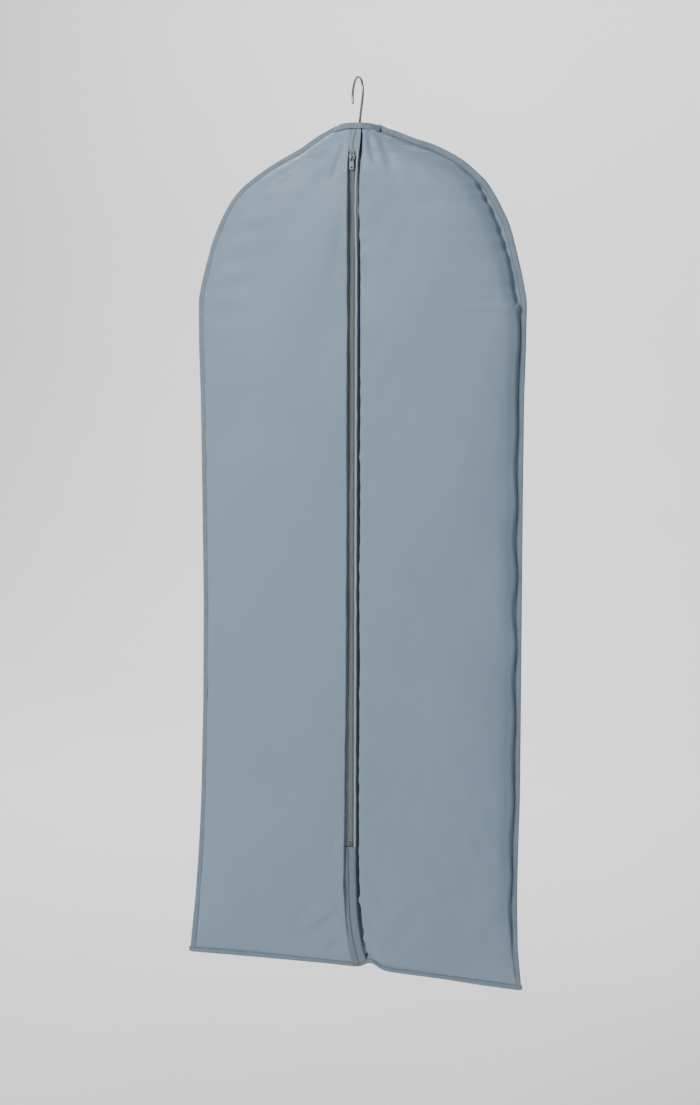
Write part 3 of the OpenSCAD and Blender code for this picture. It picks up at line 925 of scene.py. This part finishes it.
# the band's dark cloth is painted shade in the fold beside the hem strip
hem_band = part(
    cloth(
        "hem_band_cloth",
        strip_surface(FLAP_LEFT, BAND_RIGHT, np.linspace(STRIP_CHANGE, FLAP_END, 80), 2.2),
        FABRIC_FOLD_PAINTED_SHADE,
    ),
    "bag_fabric",
)


# ---------------------------------------------------------------- bindings

def fold_points(width, swell):
    """A tape folded over an edge, seen end on, as closed [inset, y] points."""
    outer = [
        (width, -0.8), (width - 0.25, -1.2), (width * 0.7, -1.2 - swell),
        (width * 0.35, -1.2 - swell), (width * 0.12, -1.05 - swell * 0.4), (0.1, -0.6), (-0.2, 0),
    ]
    outer = outer + [(n, -y) for n, y in reversed(outer[:-1])]
    inner = [(max(n - 0.3, 1.0), y * 0.42) for n, y in reversed(outer)]
    return outer + inner


def side_tape(side):
    """Tape folded over one side and shoulder, with a row of stitches front and back."""
    x, drop, nx, nd, along = ROWS[side]
    shoulder = np.exp(-(((along - 200) / 170) ** 2))
    width = BINDING_W + 0.6 + 1.2 * shoulder * (1 if side > 0 else 0.2)
    rib_step = 11 if side > 0 else 14
    rows, stitch, normals = [], [], []
    for k in range(len(x)):
        swell = 0.08 + 0.3 * shoulder[k]
        section = fold_points(width[k], swell)
        settle = 2.8 * (1 - ease(along[k] / 34))
        loop = []
        for n, y in section:
            ribs = waves(along[k] + n * 0.9, 0.0, rib_step, 40, 67, 4)
            amount = (0.14 + 0.34 * shoulder[k]) * ribs * min(1, max(0, n) / 3)
            px, pd = side * (x[k] + nx[k] * n), drop[k] + nd[k] * n + settle
            out = y + (math.copysign(amount, y) if abs(y) > 0.9 else 0)
            loop.append((px, out + hem_wave(px, pd), NECK_Z - pd + hem_lift(px, pd)))
        rows.append(loop)
    # these stitches by the tape's inner edge are near black: they also paint the crease's shade
    # line
    for k in range(4, len(x) - 4):
        n = width[k] - 1.0
        px, pd = side * (x[k] + nx[k] * n), drop[k] + nd[k] * n
        stitch.append((px, -1.3 + hem_wave(px, pd), NECK_Z - pd))
        normals.append((0, -1, 0))
    name = "right" if side > 0 else "left"
    tape = part(
        skin("side_tape_" + name, rows, BINDING_PAINTED_SHADE), "binding_tape", "binding_" + name
    )
    front = np.array(stitch)
    back = front * [1, -1, 1]
    threads = [
        stitches("seam_front_" + name, front, normals, SEAM_STITCH),
        stitches("seam_back_" + name, back, -np.array(normals), SEAM_STITCH),
    ]
    part(join("side_stitches_" + name, threads), "binding_tape")
    return tape


def hem_tape():
    """Tape folded over the hem, with a row of stitches in front."""
    lo = -OUTLINE[-1][-1][0] - 1.0
    hi = OUTLINE[1][-1][0] + 1.0
    xs = np.linspace(lo, hi, 240)
    drops = np.where(
        xs < 0, HEM_DROP + (OUTLINE[-1][-1][1] - HEM_DROP) * np.abs(xs / lo) ** 1.6,
        HEM_DROP + (OUTLINE[1][-1][1] - HEM_DROP) * np.abs(xs / hi) ** 1.1,
    )
    rows, stitch = [], []
    for x, drop in zip(xs, drops):
        loop = []
        for n, y in fold_points(BINDING_W - 0.8, 0.3):
            rib = 0.16 * waves(x + 0.7 * n, 0.0, 13, 50, 71, 4)
            d = drop - n
            out = y + (math.copysign(rib, y) if abs(y) > 0.9 else 0)
            loop.append((x, out + hem_wave(x, d), NECK_Z - d + hem_lift(x, d)))
        rows.append(loop)
        d = drop - BINDING_W + 2.2
        stitch.append((x, -1.7 + hem_wave(x, d), NECK_Z - d + hem_lift(x, d)))
    tape = part(skin("hem_tape", rows, BINDING_PAINTED_SHADE), "binding_tape", "hem_binding")
    threads = stitches("hem_stitches", stitch, [(0, -1, 0)] * len(stitch), SEAM_STITCH)
    part(threads, "binding_tape")
    return tape


def neck_tape():
    """Tape folded over the neck's edge, front and back, left open for the hook."""
    xs = np.linspace(-37, 39, 76)
    leaves = []
    for side in (-1, 1):
        depth = front_depth if side < 0 else back_depth
        rows = []
        for x in xs:
            end = abs(x) / 35
            pinch = 0.4 * math.exp(-(((x - 20) / 3.0) ** 2)) if side < 0 else 0
            wobble = 0.3 * waves(x, 0.0, 16, 30, 73, 3)
            fall = 3.0 * end ** 3
            section = []
            for d, out in ((9.2, 0.2), (9.0, 0.6), (5, 0.8), (1.2, 0.8), (0.1, 0.45), (-0.2, 0),
                           (0.1, -0.6), (1.5, -1.0), (6, -1.0), (6, -0.5), (1.8, -0.5),
                           (0.6, -0.1), (1.8, 0.3), (5, 0.35), (8.8, 0.1)):
                half = 33.5 + 1.2 * min(max(d, 0), 8)
                reach = max(0.0, min(1.0, abs(x) / half))
                y = 0.6 + (depth(max(d, 0)) + 0.6) * puff(reach) + out
                y += 0.35 * end ** 4 if out > 0 else 0
                low = d * (1 + 0.16 * end ** 2)
                section.append((x, side * (y - pinch + wobble), NECK_Z - low - fall))
            rows.append(section)
        leaves.append(skin("neck_leaf_" + ("front" if side < 0 else "back"), rows, BINDING_PAINTED_SHADE))
    return part(join("neck_tape", leaves), "binding_tape", "neck_binding")


# the tapes' darker colour is painted shade along the bag's edges
tapes = [side_tape(-1), side_tape(1), hem_tape(), neck_tape()]


# ---------------------------------------------------------------- zip

COIL_PITCH = 1.7


def coil(side):
    """One half of the chain: a wire wound down the tape's edge."""
    turns = int((ZIP_BOTTOM - ZIP_TOP - 4) / COIL_PITCH)
    per_turn = 10
    t = np.arange(turns * per_turn) / per_turn
    a = 2 * np.pi * t * side
    path = np.stack([
        side * (1.95 + 1.2 * np.cos(a)),
        -TAPE_FRONT - 1.1 + 0.75 * np.sin(a),
        NECK_Z - ZIP_TOP - 3 - t * COIL_PITCH,
    ], 1)
    return skin("coil_wire", leaned(tube_loops(path, [0.4] * len(path), 5)), COIL)


def chain_heads():
    """The meshed heads down the middle of the closed chain."""
    count = int((ZIP_BOTTOM - ZIP_TOP - 20) / (COIL_PITCH / 2))
    verts, faces = [], []
    for k in range(count):
        side = 1 if k % 2 else -1
        z = NECK_Z - ZIP_TOP - 16 - k * COIL_PITCH / 2
        base = len(verts)
        for f, r in ((-1, 0.35), (-0.5, 0.95), (0.5, 0.95), (1, 0.35)):
            for a in np.arange(8) / 8 * 2 * np.pi:
                verts.append((
                    side * 0.35 + f * 0.75,
                    -TAPE_FRONT - 1.15 - 0.85 * r * math.sin(a),
                    z + 0.42 * r * math.cos(a),
                ))
        faces += [tuple(base + v for v in f) for f in grid_faces(4, 8, loop=True)]
        faces += [tuple(base + v for v in range(8)), tuple(base + 31 - v for v in range(8))]
    piece = add_mesh("chain_heads", leaned(verts), faces, COIL)
    fix_normals(piece)
    return piece


for side, name in ((-1, "left"), (1, "right")):
    outer_x = TAPE_LEFT if side < 0 else PLACKET[1]
    t = np.linspace(0, 1, 9)[None, :]
    drops = np.linspace(ZIP_TOP - 1, ZIP_BOTTOM + 7, 230)[:, None]
    x = (side * 0.75) * (1 - t) + outer_x * t + 0 * drops
    y = -TAPE_Y - 0.12 * np.cos(3 * np.pi * t) + 0 * drops
    ribbon = leaned(np.stack([x, y, NECK_Z - drops + 0 * t], 2))
    part(
        cloth("zip_tape_" + name + "_cloth", ribbon, TAPE, TAPE_THICK), "zip_tape",
        "zip_tape_" + name,
    )
    wire = coil(side)
    wire.name = "coil_" + name
    part(wire, "zip_coil", "zip_coil_" + name)
    line_x = side * TAPE_STITCH_X
    zs = np.linspace(NECK_Z - ZIP_TOP - 2, NECK_Z - ZIP_BOTTOM, 60)
    line = leaned([(line_x, -TAPE_FRONT - 0.1, z) for z in zs])
    sewn = stitches("tape_stitches_" + name, line, [(0, -1, 0)] * len(line), TAPE_STITCH)
    part(sewn, "zip_tape")

heads = part(chain_heads(), "zip_coil")
chain_end = leaned([(0, -TAPE_Y, NECK_Z - ZIP_BOTTOM + 2)])[0] * MM
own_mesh(heads)

# metal ends of the chain
stop_bits = [
    plate(
        "stop_bit", [rounded(side * 1.9, NECK_Z - ZIP_TOP - 1.7, 1.3, 1.2, 0.5)], 2.6, 0.4,
        ZIP_METAL, COIL_FRONT + 1.0,
    )
    for side in (-1, 1)
]
part(join("top_stops", stop_bits), "zip_metal", "zip_top_stops")
part(
    plate(
        "bottom_stop", [rounded(0, NECK_Z - ZIP_BOTTOM - 2.1, 3.2, 1.9, 0.7)], 2.6, 0.5,
        ZIP_METAL, COIL_FRONT + 1.0,
    ),
    "zip_metal", "zip_bottom_stop",
)


def slider():
    """Shell of the slider: two plates, the rails between them and the post at the top."""
    mid = SLIDER_TOP - SLIDER_LEN / 2
    half = SLIDER_LEN / 2
    shield = [
        (-3.4, mid + half), (-1.2, mid + half - 0.7), (0, mid + half - 0.9),
        (1.2, mid + half - 0.7), (3.4, mid + half), (4.5, mid + half - 1.2),
        (4.6, mid + 1.0), (4.0, mid - 2.0), (3.7, mid - half + 1.0), (3.0, mid - half),
        (-3.0, mid - half), (-3.7, mid - half + 1.0), (-4.0, mid - 2.0), (-4.6, mid + 1.0),
        (-4.5, mid + half - 1.2),
    ]
    y = (PLATE_FRONT + PLATE_BACK) / 2
    front = plate("slider_front", [shield], 1.3, 0.4, ZIP_METAL, y)
    back = plate("slider_back", [shield], 1.2, 0.35, ZIP_METAL, -24.5)
    rails = [
        plate("slider_rail", [rounded(x, mid - 0.4, 0.32, half - 1.0, 0.25)], 2.4, 0.2,
              ZIP_METAL, COIL_FRONT + 0.65)
        for x in (-4.2, 4.2)
    ]
    post = plate("slider_post", [rounded(0, mid + half - 2.2, 0.4, 1.5, 0.3)], 4.6, 0.1,
                 ZIP_METAL, COIL_FRONT + 1.2)
    return join("slider_shell", [front, back, *rails, post])


def arch():
    """The loop on the slider that the pull tab hangs from."""
    top, low = SLIDER_TOP - 2.6, SLIDER_TOP - 10
    points = []
    for k in range(25):
        a = math.pi * k / 24
        z = (top + low) / 2 + (top - low) / 2 * math.cos(a)
        y = PLATE_FRONT - 2.7 * math.sin(a) ** 0.6 + 0.3
        points.append((0, y, z))
    loops = tube_loops(points, [0.62] * len(points), 10, up=(1, 0, 0))
    loops = loops * [1.75, 1, 1]
    return skin("arch_wire", leaned(loops), ZIP_METAL)


def ring(cx, cz, rx, rz, count=20):
    """An ellipse as a list of points."""
    a = np.arange(count) / count * 2 * np.pi
    return [(cx + rx * math.cos(v), cz + rz * math.sin(v)) for v in a]


def tab():
    """The pull tab: a flat plate with an eyelet for the arch and a hole near its end."""
    top = BAR_Z + 0.6
    low = BAR_Z - TAB_LEN
    outline = [
        (2.0, top), (2.7, top - 0.6), (2.9, BAR_Z - 5.0), (3.6, BAR_Z - 7.5),
        (3.6, low + 2.6), (3.2, low + 1.1), (2.2, low + 0.3), (0, low),
        (-2.2, low + 0.3), (-3.2, low + 1.1), (-3.6, low + 2.6), (-3.6, BAR_Z - 7.5),
        (-2.9, BAR_Z - 5.0), (-2.7, top - 0.6), (-2.0, top),
    ]
    eyelet = rounded(0, BAR_Z - 3.1, 1.8, 2.3, 0.6)
    hole = ring(0, low + 3.4, 2.0, 1.3)
    return plate("tab_plate", [outline, eyelet, hole], 1.2, 0.3, ZIP_METAL, BAR_Y)


part(slider(), "zip_metal", "slider_body", body="slider")
part(arch(), "zip_metal", "slider_bridge", body="slider")
part(tab(), "zip_metal", "pull_tab", body="tab")


# ---------------------------------------------------------------- hook and hanger

def hook():
    """The wire: round over the rail, along a straight run and down the shank into the hub."""
    bend_r = HOOK_INNER_R + WIRE_R
    wrap = math.radians(HOOK_WRAP)
    run_x = bend_r * math.cos(wrap) - FOOT_R * (1 - math.cos(wrap))
    run_len = run_x / math.sin(wrap)
    run_z = -HOOK_INNER_R - bend_r * math.sin(wrap)
    shank_top = run_z - run_len * math.cos(wrap) - FOOT_R * math.sin(wrap)
    shank_end = shank_top - SHANK_LEN
    flat = []
    for a in np.radians(np.linspace(-HOOK_TIP, 180 + HOOK_WRAP, 90)):
        flat.append((bend_r * math.cos(a), -HOOK_INNER_R + bend_r * math.sin(a)))
    start = (-bend_r * math.cos(wrap), run_z)
    for k in range(1, 21):
        f = run_len * k / 20
        flat.append((start[0] + f * math.sin(wrap), start[1] - f * math.cos(wrap)))
    for a in np.linspace(wrap, 0, 14)[1:]:
        flat.append((-FOOT_R + FOOT_R * math.cos(a), shank_top + FOOT_R * math.sin(a)))
    for z in np.linspace(shank_top, shank_end, 12)[1:]:
        flat.append((0, z))
    turn = math.radians(90 + HOOK_TURN)
    path = [(u * math.cos(turn), u * math.sin(turn), z) for u, z in flat]
    # a rounded tip: a few short rings before the full wire
    tip, ahead = np.array(path[0]), np.array(path[1]) - np.array(path[0])
    ahead /= np.linalg.norm(ahead)
    caps = [(-1.85, 0.35), (-1.6, 1.0), (-1.1, 1.55), (-0.5, 1.84)]
    points = [tuple(tip + ahead * s) for s, _ in caps] + path
    radii = [r for _, r in caps] + [WIRE_R] * len(path)
    return skin("hook_steel_wire", tube_loops(points, radii, 24, up=(0, 0.3, 1)), STEEL)


part(hook(), "hook_steel", "hook_wire", body="hook")
for node, material in (
    ("swivel_nut", STEEL), ("hanger_collar", FERRULE), ("hanger_body", HANGER)
):
    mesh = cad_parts[node].data
    mesh.materials.clear()
    mesh.materials.append(material)

# ---------------------------------------------------------------- studio

def backdrop():
    """A pale floor that sweeps up into a wall behind the bag."""
    floor_z, wall_y, radius, half = -2150.0, 7500.0, 2600.0, 16000.0
    profile = [(-12000.0, floor_z), (wall_y - radius, floor_z)]
    for k in range(1, 25):
        a = math.pi / 2 * k / 24
        profile.append((
            wall_y - radius + radius * math.sin(a), floor_z + radius * (1 - math.cos(a))
        ))
    profile.append((wall_y, 9000.0))
    verts = [(x, y, z) for y, z in profile for x in (-half, half)]
    material, tree, shader = node_material("backdrop_paper", (0.80, 0.80, 0.795), 0.9)
    soft = noise_of(tree, position(tree, (1, 1, 1)), 1.4, 2)
    tint(tree, shader, soft, (0.79, 0.79, 0.785), (0.81, 0.81, 0.805))
    piece = add_mesh("backdrop", verts, grid_faces(len(profile), 2), material)


def light(name, where, aim, size, power):
    """A soft rectangular light: places and size in metres, power in watts."""
    data = bpy.data.lights.new(name, "AREA")
    data.shape = "RECTANGLE"
    data.size, data.size_y = size
    data.energy = power
    lamp = bpy.data.objects.new(name, data)
    lamp.location = where
    lamp.rotation_mode = "QUATERNION"
    lamp.rotation_quaternion = (Vector(aim) - Vector(where)).to_track_quat("-Z", "Y")
    bpy.context.scene.collection.objects.link(lamp)


backdrop()
light("key", (-1.4, -2.8, 1.35), (0, 0, -0.25), (1.2, 1.2), 114)
light("fill", (0.2, -3.6, 0.2), (0, 0, -0.6), (1.6, 1.8), 6)
light("behind", (-1.6, 3.4, 3.4), (-1.8, 5.2, -1.2), (5.0, 3.0), 560)
world = bpy.data.worlds.new("studio")
world.use_nodes = True
world.node_tree.nodes["Background"].inputs["Color"].default_value = (0.95, 0.97, 1.0, 1)
world.node_tree.nodes["Background"].inputs["Strength"].default_value = 0.27
bpy.context.scene.world = world


def make_camera():
    """The photograph's angle: a little to the right and a little above."""
    azimuth, elevation, roll = (math.radians(v) for v in (17.0, 5.8, 0.4))
    focal_px, long_side_px, distance = 1790.0, 1105.0, 2.901
    target = Vector((-0.0075, 0, -0.7522))
    back = Vector((
        math.sin(azimuth) * math.cos(elevation), -math.cos(azimuth) * math.cos(elevation),
        math.sin(elevation),
    ))
    right = Vector((math.cos(azimuth), math.sin(azimuth), 0))
    up = back.cross(right)
    right, up = (
        right * math.cos(roll) + up * math.sin(roll), up * math.cos(roll) - right * math.sin(roll)
    )
    data = bpy.data.cameras.new("camera")
    data.sensor_width = 36
    data.lens = focal_px / long_side_px * 36
    data.clip_start, data.clip_end = 0.05, 60
    camera = bpy.data.objects.new("camera", data)
    where = target + back * distance
    camera.matrix_world = Matrix((
        (right.x, up.x, back.x, where.x), (right.y, up.y, back.y, where.y),
        (right.z, up.z, back.z, where.z), (0, 0, 0, 1),
    ))
    bpy.context.scene.collection.objects.link(camera)
    bpy.context.scene.camera = camera


make_camera()
